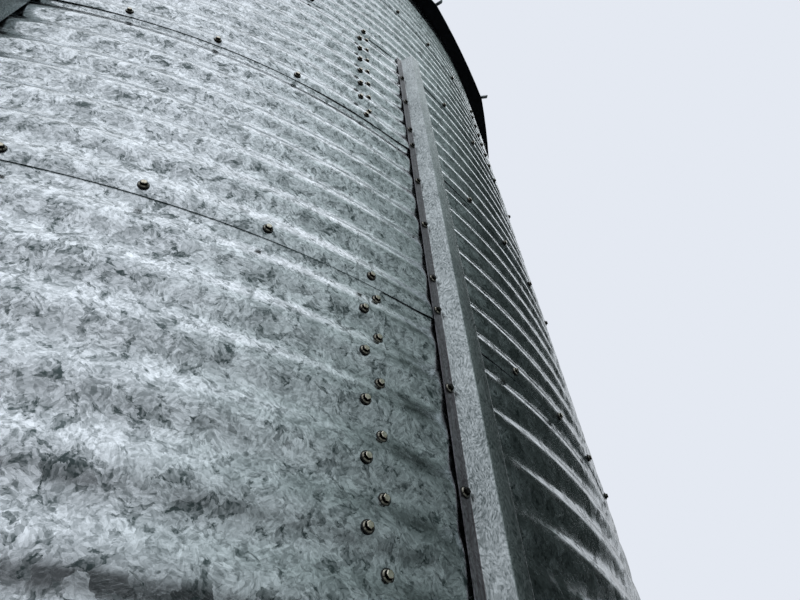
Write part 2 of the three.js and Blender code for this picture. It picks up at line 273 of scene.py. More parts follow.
@dataclass(frozen=True)
class SpangledSheet(Finish):
    """Hot-dip galvanised sheet with a large spangle, drawn along the sheet on its own UV map."""

    light: str = "F1F7FC"
    dark: str = "4F5B5C"
    roughness: float = 0.15
    plan: SiloPlan = SiloPlan()
    lap: SheetLap = SheetLap()
    tone: Pair = (0.53, 0.69)  # of the darkest and the lightest crystal
    gloss: Pair = (-0.04, 0.07)  # what a crystal adds to the roughness, at the least and the most
    crystal: float = mm(30)
    bends: tuple[Pair, ...] = ((mm(45), mm(26)), (mm(9), mm(7)))  # size and reach of the edges' curves
    flecks: tuple[Pair, ...] = ((mm(11), 0.1), (mm(5.5), 0.38), (mm(3), 0.28))  # size and strength
    needle_width: float = mm(3)
    needle_length: float = mm(11)
    needle_strength: float = 0.48
    serration: float = mm(5)
    layers: tuple[Leaves, ...] = (
        Leaves(mm(56), mm(20), 0.45, 0.15),
        Leaves(mm(38), mm(14), 1.5, 0.17),
        Leaves(mm(25), mm(9), 2.6, 0.2),
    )
    leaf_edge: Pair = (0.5, 0.55)  # distances from a cell's middle over which a leaf ends
    tilt: float = 0.06
    relief: float = mm(0.4)
    relief_strength: float = 0.2
    band_middle: float = mm(31)
    band_half: float = mm(17)
    band_fade: float = mm(20)
    band_contrast: float = 0.9
    line_middle: float = mm(19)
    line_half: float = mm(14)
    line_width: float = mm(2.6)
    edge_line: float = mm(4.5)  # of painted shade on the sheet below, along a lap's edge
    # What leaves, bands, the painted highlight lines and the painted lap shade add to the shade and to the
    # roughness
    marks: tuple[Pair, ...] = ((-0.4, 0.2), (-0.03, -0.04), (0.05, -0.04), (-0.6, 0.3))

    def look(self, add: Adder) -> Look:
        """Draws crystals of needles, dark leaves over them, burnished crests, painted highlight lines and
        painted lap shade.

        Args:
            add: Adds a node to the material's tree.

        Returns:
            The shader's inputs by name.
        """
        flat = add("ShaderNodeUVMap", uv_map=PATTERN_MAP)[0]
        bent = flat
        for size, reach in self.bends:
            noise = {"Scale": 1 / size, "Detail": 2.0}
            drift = add(Kind.NOISE, flat, named=noise, noise_dimensions="2D")["Color"]
            centred = add(Kind.VECTOR, drift, MIDDLE_COLOUR, operation="SUBTRACT")[0]
            bent = add(Kind.VECTOR, centred, (reach, reach, 0.0), bent, operation="MULTIPLY_ADD")[0]
        crystals = add(Kind.FLAT_CELLS, bent, named={"Scale": 1 / self.crystal})["Color"]
        turn, tone, gloss = add(Kind.CHANNELS, crystals)
        needles, serrated = self.needles(add, flat, bent, turn)
        # The fine lines are smoother, a real burnish, and lighter in colour, a painted highlight
        band, burnish_and_highlight, lap_shade = self.bands(add, flat)
        contrast = add(Kind.RANGE, band, 0.0, 1.0, 1.0, self.band_contrast)[0]
        leaves = add(Kind.MULTIPLY, self.leaves(add, serrated), contrast)[0]
        drawn = add(Kind.MULTIPLY, gloss, self.needle_strength)[0]
        flecks = add(Kind.MULTIPLY, needles, drawn)[0]
        for size, strength in self.flecks:
            cells = add(Kind.FLAT_CELLS, bent, named={"Scale": 1 / size})["Color"]
            flecks = add(Kind.MULTIPLY_ADD, add(Kind.CHANNELS, cells)[0], strength, flecks)[0]
        # Random numbers have a mean of a half, and products of two a mean of a quarter
        mean = sum(strength for _, strength in self.flecks) / 2 + self.needle_strength / 4
        swing = add(Kind.SUBTRACT, flecks, mean)[0]
        shade = add(Kind.RANGE, tone, 0.0, 1.0, *self.tone)[0]
        shade = add(Kind.MULTIPLY_ADD, swing, contrast, shade)[0]
        rough = add(Kind.RANGE, gloss, 0.0, 1.0, *self.spread(self.gloss))[0]
        # The mark under the laps darkens the colour: painted shade where each lap's edge shades the sheet
        # below
        for mark, (shading, dulling) in zip((leaves, band, burnish_and_highlight, lap_shade), self.marks):
            shade = add(Kind.MULTIPLY_ADD, mark, shading, shade)[0]
            rough = add(Kind.MULTIPLY_ADD, mark, dulling, rough)[0]
        return {
            "Base Color": self.between(add, shade),
            "Roughness": rough,
            "Normal": self.facets(add, crystals, contrast, needles),
        }

    def needles(self, add: Adder, flat: Socket, bent: Socket, turn: Socket) -> tuple[Socket, Socket]:
        """Draws fine needles in a direction of each crystal's own, and shifts the pattern along them.

        Args:
            add: Adds a node to the material's tree.
            flat: The sheet's coordinates in metres.
            bent: The bent coordinates.
            turn: A random number for each crystal.

        Returns:
            The needles from 0 to 1, and coordinates that give the leaves a serrated edge.
        """
        angle = add(Kind.MULTIPLY, turn, 2 * math.pi)[0]
        turned = add(Kind.TURN, flat, named={"Angle": angle})[0]
        size = (1 / self.needle_width, 1 / self.needle_length, 1.0)
        drawn = add(Kind.MAPPING, turned, named={"Scale": size})[0]
        cells = add(Kind.FLAT_CELLS, drawn, named={"Scale": 1.0})["Color"]
        tone, slide, _ = add(Kind.CHANNELS, cells)
        along = add(Kind.RANGE, slide, 0.0, 1.0, -self.serration / 2, self.serration / 2)[0]
        across = add(Kind.JOIN, 0.0, along)[0]
        step = add(Kind.TURN, across, named={"Angle": angle}, invert=True)[0]
        return tone, add(Kind.VECTOR, bent, step, operation="ADD")[0]

    def leaves(self, add: Adder, serrated: Socket) -> Socket:
        """Draws the dark leaves, one layer over the other.

        Args:
            add: Adds a node to the material's tree.
            serrated: The serrated coordinates in metres.

        Returns:
            How dark a place is, from 0 to 1.
        """
        darkest: Any = 0.0
        for layer in self.layers:
            lie = {
                "Location": (layer.turn, 2 * layer.turn, 0.0),
                "Rotation": (0.0, 0.0, layer.turn),
                "Scale": (layer.length, layer.width, 1.0),
            }
            laid = add(Kind.MAPPING, serrated, named=lie, vector_type="TEXTURE")[0]
            cells = add(Kind.FLAT_CELLS, laid, named={"Scale": 1.0}, distance="MANHATTAN")
            inside = add(Kind.RANGE, cells["Distance"], *self.leaf_edge, 1.0, 0.0)[0]
            chance = add(Kind.CHANNELS, cells["Color"])[0]
            chosen = add(Kind.RANGE, chance, 0.0, layer.share * 2, 1.0, 0.0)[0]
            leaf = add(Kind.MULTIPLY, inside, chosen)[0]
            darkest = add("ShaderNodeMath", darkest, leaf, operation="MAXIMUM")[0]
        return darkest

    def bands(self, add: Adder, flat: Socket) -> list[Socket]:
        """Draws what runs along the sheet: burnished crests with fine lines of painted highlight, and painted
        shade under the laps.

        Args:
            add: Adds a node to the material's tree.
            flat: The sheet's coordinates in metres.

        Returns:
            The crest's band, the painted highlight lines on its sides and the painted shade under the laps,
            all from 0 to 1.
        """
        height = add(Kind.SPLIT, flat)[1]
        edges = []
        for middle, half in ((self.band_middle, self.band_half), (self.line_middle, self.line_half)):
            above = add(Kind.SUBTRACT, height, middle)[0]
            nearest = add("ShaderNodeMath", above, self.plan.wave_pitch / 2, operation="PINGPONG")[0]
            edges.append(add(Kind.SUBTRACT, nearest, half)[0])
        beside = add("ShaderNodeMath", edges[1], operation="ABSOLUTE")[0]
        raised = add(Kind.ADD, height, self.lap.overlap)[0]
        past = add("ShaderNodeMath", raised, self.plan.ring_height, operation="FLOORED_MODULO")[0]
        under = add(Kind.SUBTRACT, self.plan.ring_height, past)[0]
        reaches = ((edges[0], self.band_fade), (beside, self.line_width), (under, self.edge_line))
        return [add(Kind.FADE, away, 0.0, reach, 1.0, 0.0)[0] for away, reach in reaches]

    def facets(self, add: Adder, crystals: Socket, contrast: Socket, needles: Socket) -> Socket:
        """Tilts each crystal a little its own way, less on the burnished bands.

        Args:
            add: Adds a node to the material's tree.
            crystals: A random colour for each crystal.
            contrast: How strongly the spangle shows.
            needles: The needles from 0 to 1.

        Returns:
            The normal.
        """
        centred = add(Kind.VECTOR, crystals, MIDDLE_COLOUR, operation="SUBTRACT")[0]
        reach = add(Kind.RANGE, contrast, self.band_contrast, 1.0, 0.0, self.tilt)[0]
        scaled = add(Kind.VECTOR, centred, named={"Scale": reach}, operation="SCALE")[0]
        tilted = add(Kind.VECTOR, add(Kind.NORMAL)["Normal"], scaled, operation="ADD")[0]
        bump = {
            "Strength": self.relief_strength,
            "Distance": self.relief / self.tilt,
            "Height": add(Kind.MULTIPLY, needles, reach)[0],
            "Normal": add(Kind.VECTOR, tilted, operation="NORMALIZE")[0],
        }
        return add(Kind.BUMP, named=bump)[0]


@dataclass(frozen=True)
class MottledZinc(Finish):
    """Galvanised folded steel: a fine mottle of short pale and dark strokes in all directions."""

    light: str = "C6CDCF"
    dark: str = "656E6F"
    roughness: float = 0.35
    grain: float = mm(3.5)
    upright: float = 0.5  # how the grain stretches along Z
    patch: float = mm(60)
    tilt: float = 0.06
    strokes: Course = (0.35, 0.65, -0.08, 0.52)
    crystals_per_grain: float = 1.2
    crystal_shade: float = 0.66
    blotches: Course = (0.3, 0.7, -0.18, 0.12)
    gloss: Pair = (-0.05, 0.1)  # what a crystal adds to the roughness, at the least and the most
    relief: float = mm(0.4)
    relief_strength: float = 0.3
    stain: str = "5B5054"
    stained: float = 0.0  # how strongly run-off has streaked it
    least_stained: float = 0.35  # share of that strength between the streaks
    streak: tuple[float, float, float] = (mm(5), mm(5), mm(110))
    streak_edge: Pair = (0.38, 0.62)

    def look(self, add: Adder) -> Look:
        """Draws the mottle, blotches in it and streaks of run-off over it.

        Args:
            add: Adds a node to the material's tree.

        Returns:
            The shader's inputs by name.
        """
        place = add(Kind.VECTOR, add(Kind.PLACE)["Object"], (1.0, 1.0, self.upright), operation="MULTIPLY")[0]
        patches = add(Kind.NOISE, place, named={"Scale": 1 / self.patch, "Detail": 2.0})
        bent = add(Kind.VECTOR, patches["Color"], (self.patch,) * 3, place, operation="MULTIPLY_ADD")[0]
        crystals = add(Kind.CELLS, bent, named={"Scale": self.crystals_per_grain / self.grain})["Color"]
        tone, gloss, _ = add(Kind.CHANNELS, crystals)
        fine = {"Scale": 1 / self.grain, "Detail": 3.0, "Roughness": 0.7}
        strokes = add(Kind.NOISE, bent, named=fine)[0]
        shade = add(Kind.RANGE, strokes, *self.strokes)[0]
        shade = add(Kind.MULTIPLY_ADD, tone, self.crystal_shade, shade)[0]
        blotch = add(Kind.RANGE, patches[0], *self.blotches)[0]
        shade = add(Kind.ADD, shade, blotch, use_clamp=True)[0]
        runs = add(Kind.MAPPING, place, named={"Scale": tuple(1 / size for size in self.streak)})[0]
        streaks = add(Kind.NOISE, runs, named={"Scale": 1.0, "Detail": 3.0})[0]
        wash = (*self.streak_edge, self.stained * self.least_stained, self.stained)
        washed = add(Kind.RANGE, streaks, *wash)[0]
        colour = add(Kind.MIX, washed, named={6: self.between(add, shade), 7: linear(self.stain)})[2]
        rough = add(Kind.RANGE, gloss, 0.0, 1.0, *self.spread(self.gloss))[0]
        centred = add(Kind.VECTOR, crystals, MIDDLE_COLOUR, operation="SUBTRACT")[0]
        facing = add(Kind.NORMAL)["Normal"]
        tilted = add(Kind.VECTOR, centred, (self.tilt,) * 3, facing, operation="MULTIPLY_ADD")[0]
        bump = {
            "Strength": self.relief_strength,
            "Distance": self.relief,
            "Height": strokes,
            "Normal": add(Kind.VECTOR, tilted, operation="NORMALIZE")[0],
        }
        return {"Base Color": colour, "Roughness": rough, "Normal": add(Kind.BUMP, named=bump)[0]}


@dataclass(frozen=True)
class PlainFinish(Finish):
    """A finish with an even colour broken by fine noise, such as plated steel or rubber."""

    grain: float = mm(4)
    shades: Course = (0.35, 0.65, 0.0, 1.0)
    gloss: Pair = (0.06, -0.06)  # what the noise adds to the roughness, at its least and its most
    gloss_edge: Pair = (0.3, 0.7)
    relief: float = mm(0.2)
    relief_strength: float = 0.2

    def look(self, add: Adder) -> Look:
        """Draws the noise.

        Args:
            add: Adds a node to the material's tree.

        Returns:
            The shader's inputs by name.
        """
        noise = add(Kind.NOISE, add(Kind.PLACE)["Object"], named={"Scale": 1 / self.grain, "Detail": 3.0})[0]
        share = add(Kind.RANGE, noise, *self.shades)[0]
        rough = add(Kind.RANGE, noise, *self.gloss_edge, *self.spread(self.gloss))[0]
        bump = {"Strength": self.relief_strength, "Distance": self.relief, "Height": noise}
        normal = add(Kind.BUMP, named=bump)[0]
        return {"Base Color": self.between(add, share), "Roughness": rough, "Normal": normal}


class Coat(Enum):
    """The silo's finishes."""

    # Galvanised sheet with a large spangle: pale grey crystals of needles, and dark pointed leaves
    SHEET = SpangledSheet("galvanised_sheet_zinc")
    # Galvanised folded steel: a fine, short-stroked mottle
    STIFFENER = MottledZinc("galvanised_section_zinc")
    # The same steel where rain runs down off the bolts: dull, brownish streaks
    FLANGE = MottledZinc("galvanised_flange_zinc", "A9A9AC", "5A595C", stained=0.55)
    # Galvanised roof sheet, duller from weather
    ROOF = MottledZinc("galvanised_roof_zinc", "B4BBBD", "6B7376", 0.42, grain=mm(8), patch=mm(150))
    # Underside of the roof sheet, dull and painted nearly black as the shade under the eave
    SOFFIT = PlainFinish("painted_shade_zinc_underside", "151922", "090B11", 0.7, 0.4, mm(20))
    # Rolled angle, dull zinc
    ANGLE = PlainFinish("galvanised_angle_zinc", "8A9193", "666D70", 0.5, 0.9, mm(12))
    # Yellow-passivated steel on the bolt heads' outer faces, painted pale as their lit face, with crisp
    # glints
    BOLT = PlainFinish("passivated_bolt_steel_painted_lit", "E2DCCD", "B5AD99", 0.17)
    # The same steel on the heads' sides, painted dark as the shade on them
    BOLT_SIDE = PlainFinish("painted_shade_bolt_steel", "2B2923", "151412", 0.24)
    # Zinc-plated steel of the dished washers, with a bright rim
    WASHER = PlainFinish("plated_washer_steel", "A3A094", "6A685F", 0.12)
    # Black rubber of the seals that stand out from under the washers
    SEAL = PlainFinish("black_seal_rubber", "111213", "08090A", 0.5, 0.0)


Coats = Mapping[Coat, bpy.types.Material]


def finish_piece(piece: bpy.types.Object, nodes: Iterable[str] = ()) -> None:
    """Hands a finished piece to the frame.

    Args:
        piece: The piece, at the origin and untransformed.
        nodes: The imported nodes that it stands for.
    """
    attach(piece, BODY)
    for node in nodes:
        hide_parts(node)
    LOG.info("%s: %d faces", piece.name, len(piece.data.polygons))


def dress(node: str, finish: bpy.types.Material) -> None:
    """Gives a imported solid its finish.

    Args:
        node: The solid's node.
        finish: The material.
    """
    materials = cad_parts[node].data.materials
    materials.clear()
    materials.append(finish)
    LOG.info("%s: dressed as it was packed", node)


def soften(mesh: bpy.types.Mesh) -> None:
    """Shades a mesh smooth and keeps its folds sharp."""
    mesh.shade_smooth()
    mesh.set_sharp_from_angle(angle=SHARP_EDGE)


def piece_from_mesh(name: str, mesh: bpy.types.Mesh) -> bpy.types.Object:
    """Puts a mesh into the scene as a piece.

    Args:
        name: The piece's name.
        mesh: Its finished mesh.

    Returns:
        The new object at the origin.
    """
    mesh.name = name
    piece = bpy.data.objects.new(name, mesh)
    bpy.context.scene.collection.objects.link(piece)
    return piece


def piece_from_faces(
    name: str,
    points: Sequence[Vector],
    faces: Sequence[Sequence[int]],
    materials: Sequence[bpy.types.Material],
    face_materials: Sequence[int] | None = None,
) -> bpy.types.Object:
    """Makes a piece from points and faces.

    Args:
        name: The piece's name.
        points: Corner points in metres.
        faces: Corner numbers of each face, counter-clockwise from outside.
        materials: The piece's materials.
        face_materials: The material number of each face, or None for the first one.

    Returns:
        The new object at the origin.
    """
    mesh = bpy.data.meshes.new(name)
    mesh.from_pydata([tuple(point) for point in points], [], [tuple(face) for face in faces])
    for material in materials:
        mesh.materials.append(material)
    if face_materials is not None:
        mesh.polygons.foreach_set("material_index", list(face_materials))
    mesh.update()
    soften(mesh)
    return piece_from_mesh(name, mesh)


class Growth:
    """Runs a Geometry Nodes tree on a mesh and keeps the result as a plain mesh."""

    SOCKETS: dict[type, str] = {
        float: "NodeSocketFloat",
        int: "NodeSocketInt",
        bpy.types.Material: "NodeSocketMaterial",
    }

    def __init__(self, name: str, values: Mapping[str, Any]) -> None:
        """Starts a tree.

        Args:
            name: The tree's name.
            values: The tree's named inputs, each with the value that it has unless another is given.
        """
        self.tree = bpy.data.node_groups.new(name, "GeometryNodeTree")
        self.values = dict(values)
        face = self.tree.interface
        face.new_socket("Geometry", in_out="INPUT", socket_type="NodeSocketGeometry")
        for label, value in values.items():
            face.new_socket(label, in_out="INPUT", socket_type=self.SOCKETS[type(value)])
        face.new_socket("Geometry", in_out="OUTPUT", socket_type="NodeSocketGeometry")
        self.add = partial(add_node, self.tree)
        self.given = self.add("NodeGroupInput")

    def end(self, geometry: Socket) -> None:
        """Ends the tree with real geometry in the given material.

        Args:
            geometry: The geometry to give out.
        """
        real = self.add("GeometryNodeRealizeInstances", geometry)[0]
        dressed = self.add("GeometryNodeSetMaterial", real, named={"Material": self.given["Material"]})[0]
        self.add("NodeGroupOutput", dressed)

    def grow(
        self, name: str, seed: bpy.types.Mesh, values: Mapping[str, Any] | None = None
    ) -> bpy.types.Mesh:
        """Runs the tree once.

        Args:
            name: The name of the resulting mesh.
            seed: The mesh that the tree starts from.
            values: Values of those named inputs that differ this time.

        Returns:
            The result as a plain mesh.
        """
        values = {**self.values, **(values or {})}
        carrier = bpy.data.objects.new(name + "_seed", seed)
        bpy.context.scene.collection.objects.link(carrier)
        modifier = carrier.modifiers.new("growth", "NODES")
        modifier.node_group = self.tree
        for item in self.tree.interface.items_tree:
            if item.in_out == "INPUT" and item.name in values:
                modifier[item.identifier] = values[item.name]
        settled = carrier.evaluated_get(bpy.context.evaluated_depsgraph_get())
        mesh = bpy.data.meshes.new_from_object(settled)
        carrier.modifiers.remove(modifier)
        bpy.data.objects.remove(carrier)
        mesh.name = name
        return mesh


@dataclass
class WallSheets:
    """The corrugated wall: one thin lapped sheet for each packed sheet."""

    plan: SiloPlan
    lap: SheetLap
    coats: Coats
    steps_per_wave: int = 10
    braced_steps: int = 6  # of the grid to a bolt spacing, beside stiffeners
    plain_steps: int = 4
    pattern_step: float = 0.617
    low_ramp: Pair = (-0.42, -0.2)  # shares of the height, from the middle, over which the low lap ends
    lift_ramp: Pair = (-0.5, -0.44)  # the same for the lift beside a stiffener
    inner_share: float = 0.9  # of the thickness, so that the inner face stays clear of the next sheet
    weld: float = mm(0.02)  # distance within which the corners of the two faces are one

    def hump(self, add: Adder, place: Socket, middle: Socket, width: Socket) -> Socket:
        """Draws a bell curve that is 1 in its middle.

        Args:
            add: Adds a node to the tree.
            place: Where on the curve.
            middle: The place of its middle.
            width: Its width.

        Returns:
            Its height.
        """
        share = add(Kind.DIVIDE, add(Kind.SUBTRACT, place, middle)[0], width)[0]
        square = add(Kind.MULTIPLY, share, share)[0]
        return add("ShaderNodeMath", add(Kind.MULTIPLY, square, -1.0)[0], operation="EXPONENT")[0]

    def tree(self) -> Growth:
        """Builds the tree that bends a flat grid into a corrugated sheet of real thickness.

        Returns:
            The tree, ready to run.
        """
        plan, lap = self.plan, self.lap
        values = {
            "Wave Pitch": plan.wave_pitch,
            "Wave Depth": plan.wave_depth,
            "Wave Rise": plan.wave_rise,
            "Crest Radius": plan.crest_radius - 2 * lap.thickness,
            "Thickness": lap.thickness,
            "Side Ramp": lap.side_ramp * plan.bolt_angle,
            "Lap Lift": lap.lift,
            "Lift Width": lap.lift_width * plan.bolt_angle,
            "Press": lap.press,
            "Press Offset": lap.press_offset / plan.crest_radius,
            "Press Width": lap.press_width / plan.crest_radius,
            "Columns": 2,
            "Rows": 2,
            "Material": self.coats[Coat.SHEET],
        }
        places = ("Low", "High", "First Azimuth", "Last Azimuth", "Brace A", "Brace B", "Pattern Shift")
        grow = Growth("corrugated_sheet", values | dict.fromkeys(places, 0.0))
        add, given = grow.add, grow.given
        grid = add("GeometryNodeMeshGrid", 1.0, 1.0, given["Columns"], given["Rows"])[0]
        across, upwards, _ = add(Kind.SPLIT, add("GeometryNodeInputPosition")[0])
        azimuth = add(Kind.RANGE, across, -0.5, 0.5, given["First Azimuth"], given["Last Azimuth"])[0]
        height = add(Kind.RANGE, upwards, -0.5, 0.5, given["Low"], given["High"])[0]
        waves = add(Kind.DIVIDE, add(Kind.SUBTRACT, height, given["Wave Rise"])[0], given["Wave Pitch"])[0]
        turn = add(Kind.MULTIPLY, waves, 2 * math.pi)[0]
        wave = add("ShaderNodeMath", turn, operation="COSINE")[0]
        inset = add(Kind.SUBTRACT, wave, 1.0)[0]
        lifted: Any = 0.0
        for label in ("Brace A", "Brace B"):
            near = self.hump(add, azimuth, given[label], given["Lift Width"])
            lifted = add(Kind.ADD, lifted, near)[0]
            flange = add(Kind.SUBTRACT, given[label], given["Press Offset"])[0]
            close = self.hump(add, azimuth, flange, given["Press Width"])
            force = add(Kind.MULTIPLY, close, given["Press"])[0]
            inset = add(Kind.MULTIPLY, inset, add(Kind.SUBTRACT, 1.0, force)[0])[0]
        half = add(Kind.MULTIPLY, given["Wave Depth"], 0.5)[0]
        radius = add(Kind.MULTIPLY_ADD, inset, half, given["Crest Radius"])[0]
        # The lower edge lies outside the ring below, and the last end outside the next sheet
        over_low = add(Kind.FADE, upwards, *self.low_ramp, 1.0, 0.0)[0]
        ramp_from = add(Kind.SUBTRACT, given["Last Azimuth"], given["Side Ramp"])[0]
        ramp_to = add(Kind.MULTIPLY_ADD, given["Side Ramp"], -0.5, given["Last Azimuth"])[0]
        over_side = add(Kind.FADE, azimuth, ramp_from, ramp_to, 0.0, 1.0)[0]
        layers = add(Kind.ADD, over_low, over_side)[0]
        radius = add(Kind.MULTIPLY_ADD, layers, given["Thickness"], radius)[0]
        edge = add(Kind.FADE, upwards, *self.lift_ramp, 1.0, 0.0)[0]
        sprung = add(Kind.MULTIPLY, lifted, edge)[0]
        radius = add(Kind.MULTIPLY_ADD, sprung, given["Lap Lift"], radius)[0]
        sine, cosine = (add("ShaderNodeMath", azimuth, operation=name)[0] for name in ("SINE", "COSINE"))
        east, north = (add(Kind.MULTIPLY, radius, share)[0] for share in (sine, cosine))
        where = add(Kind.JOIN, east, add(Kind.MULTIPLY, north, -1.0)[0], height)[0]
        along = add(Kind.MULTIPLY_ADD, azimuth, given["Crest Radius"], given["Pattern Shift"])[0]
        flat = {"Name": PATTERN_MAP, "Value": add(Kind.JOIN, along, height)[0]}
        store = {"data_type": "FLOAT2", "domain": "CORNER"}
        mapped = add("GeometryNodeStoreNamedAttribute", grid, named=flat, **store)[0]
        outside = add("GeometryNodeSetPosition", mapped, named={"Position": where})[0]
        inward = add(Kind.MULTIPLY, given["Thickness"], -self.inner_share)[0]
        push = {"Offset Scale": inward, "Individual": False}
        inside = add("GeometryNodeExtrudeMesh", outside, named=push, mode="FACES")[0]
        turned = add("GeometryNodeFlipFaces", inside)[0]
        both = add("GeometryNodeJoinGeometry", outside)[0]
        grow.tree.links.new(turned, both.node.inputs[0])
        grow.end(add("GeometryNodeMergeByDistance", both, named={"Distance": self.weld})[0])
        return grow

    def build(self) -> None:
        """Makes the thirty-five sheets."""
        plan, lap = self.plan, self.lap
        tree = self.tree()
        seed = bpy.data.meshes.new("sheet_seed")
        for ring in range(plan.rings):
            braced = ring < plan.braced_rings
            steps = self.braced_steps if braced else self.plain_steps
            low = 0.0 if ring == 0 else ring * plan.ring_height - lap.overlap
            high = plan.wall_top if ring == plan.rings - 1 else (ring + 1) * plan.ring_height + lap.overlap
            for number in range(plan.sheets_round):
                first = plan.ring_seams[ring] + number * plan.bolts_per_sheet
                last = first + plan.bolts_per_sheet
                braces = [bolt for bolt in plan.braced_bolts(last + 1) if first < bolt < last]
                node = f"wall_ring_{ring + 1}_sheet_{number + 1}"
                values = {
                    "Low": low,
                    "High": high,
                    "First Azimuth": plan.azimuth(first - lap.side_overlap),
                    "Last Azimuth": plan.azimuth(last + lap.side_overlap),
                    "Lap Lift": lap.lift if 0 < ring <= plan.braced_rings else 0.0,
                    "Brace A": plan.azimuth(braces[0]),
                    "Brace B": plan.azimuth(braces[-1]),
                    "Press": lap.press if braced else 0.0,
                    "Pattern Shift": self.pattern_step * (ring * plan.sheets_round + number),
                    "Columns": round((plan.bolts_per_sheet + 2 * lap.side_overlap) * steps) + 1,
                    "Rows": round((high - low) / plan.wave_pitch * self.steps_per_wave) + 1,
                }
                mesh = tree.grow(f"{node}_skin", seed, values)
                soften(mesh)
                finish_piece(piece_from_mesh(mesh.name, mesh), [node])


@dataclass
class Stiffeners:
    """The folded stiffeners outside the lower rings, with one bolted flange and a foot plate each."""

    plan: SiloPlan
    coats: Coats
    depth: float = mm(48)
    crown_width: float = mm(48)
    plain_side: float = mm(20)  # from the line of the lap bolt to the plain web
    web_run: float = mm(16.5)
    flange_width: float = mm(25)
    thickness: float = mm(2.6)
    bend_radius: float = mm(4.5)
    bend_steps: int = 4
    lengths: int = 10
    top_drop: float = mm(8)
    foot_size: tuple[float, float, float] = (mm(168), mm(98), mm(8))
    foot_gap: float = mm(2)
    foot_bevel: float = mm(1.2)
    upright: float = 0.1  # the most that an upright face's normal has along Z

    @property
    def fold(self) -> float:
        """Where the flange meets the sloping web, from the line of the lap bolt."""
        return self.crown_width - self.plain_side + self.web_run

    def rounded(self, corners: Sequence[Vector], radius: float) -> list[Vector]:
        """Rounds the inner corners of a line.

        Args:
            corners: The line's corners.
            radius: The radius of each bend.

        Returns:
            The line's points, with an arc at each bend.
        """
        line = [corners[0]]
        for before, corner, after in zip(corners, corners[1:], corners[2:]):
            into, out = (corner - before).normalized(), (after - corner).normalized()
            reach = radius * math.tan(into.angle(out) / 2)
            start, end = corner - into * reach, corner + out * reach
            for step in range(self.bend_steps + 1):
                share = step / self.bend_steps
                line.append(start.lerp(corner, share).lerp(corner.lerp(end, share), share))
        line.append(corners[-1])
        return line

    def outline(self) -> list[Pair]:
        """Works out the section's outline, with X along the wall and Y outwards from the crests.

        Returns:
            The outline's corners, first along the outside and then back along the inside.
        """
        middle = self.thickness / 2
        seat = self.plan.seat_gap + middle
        places = (self.fold + self.flange_width, self.fold - middle)
        edge, fold = (Vector((x, seat - x * x / (2 * self.plan.crest_radius))) for x in places)
        crown = Vector((self.crown_width - self.plain_side - middle, self.depth - middle))
        plain = middle - self.plain_side
        corners = [edge, fold, crown, Vector((plain, self.depth - middle)), Vector((plain, 0.0))]
        line = self.rounded(corners, self.bend_radius)
        outer, inner = [], []
        for i, point in enumerate(line):
            along = (line[min(i + 1, len(line) - 1)] - line[max(i - 1, 0)]).normalized()
            across = Vector((along.y, -along.x)) * middle
            outer.append(tuple(point + across))
            inner.append(tuple(point - across))
        return outer + inner[::-1]

    def build(self) -> None:
        """Makes the ten stiffeners."""
        plan = self.plan
        outline = self.outline()
        foot = self.foot_size[2]
        reach = plan.braced_rings * plan.ring_height - self.top_drop - foot
        levels = [foot + reach * i / self.lengths for i in range(self.lengths + 1)]
        count = len(outline)
        sheet = bmesh.new()
        rings = [[sheet.verts.new((x, y, z)) for x, y in outline] for z in levels]
        for lower, upper in zip(rings, rings[1:]):
            for i in range(count):
                j = (i + 1) % count
                sheet.faces.new((lower[i], lower[j], upper[j], upper[i]))
        for ring, way in ((rings[0], -1), (rings[-1], 1)):
            for i in range(count // 2 - 1):
                sheet.faces.new((ring[i], ring[i + 1], ring[count - 2 - i], ring[count - 1 - i])[::way])
        self.add_foot(sheet)
        bmesh.ops.recalc_face_normals(sheet, faces=sheet.faces)
        for face in sheet.faces:
            middle = face.calc_center_median()
            if middle.x > self.fold and middle.z > foot and abs(face.normal.z) < self.upright:
                face.material_index = 1
        pattern = bpy.data.meshes.new("stiffener")
        sheet.to_mesh(pattern)
        sheet.free()
        pattern.materials.append(self.coats[Coat.STIFFENER])
        pattern.materials.append(self.coats[Coat.FLANGE])
        soften(pattern)
        for number, azimuth in enumerate(plan.stiffener_azimuths(), start=1):
            mesh = pattern.copy()
            seat = plan.point(plan.crest_radius, azimuth, 0.0)
            mesh.transform(Matrix.Translation(seat) @ Matrix.Rotation(azimuth + math.pi, 4, "Z"))
            node = f"stiffener_{number}"
            finish_piece(piece_from_mesh(f"{node}_section", mesh), [node])
        bpy.data.meshes.remove(pattern)

    def add_foot(self, sheet: bmesh.types.BMesh) -> None:
        """Adds the foot plate with eased edges.

        Args:
            sheet: The mesh that gets the plate.
        """
        _, reach, thickness = self.foot_size
        place = Matrix.Translation((0, reach / 2 + self.foot_gap, thickness / 2))
        size = Matrix.Diagonal((*self.foot_size, 1))
        plate = bmesh.ops.create_cube(sheet, size=1.0, matrix=place @ size)
        edges = list({edge for vert in plate["verts"] for edge in vert.link_edges})
        bmesh.ops.bevel(sheet, geom=edges, offset=self.foot_bevel, segments=2, affect="EDGES")


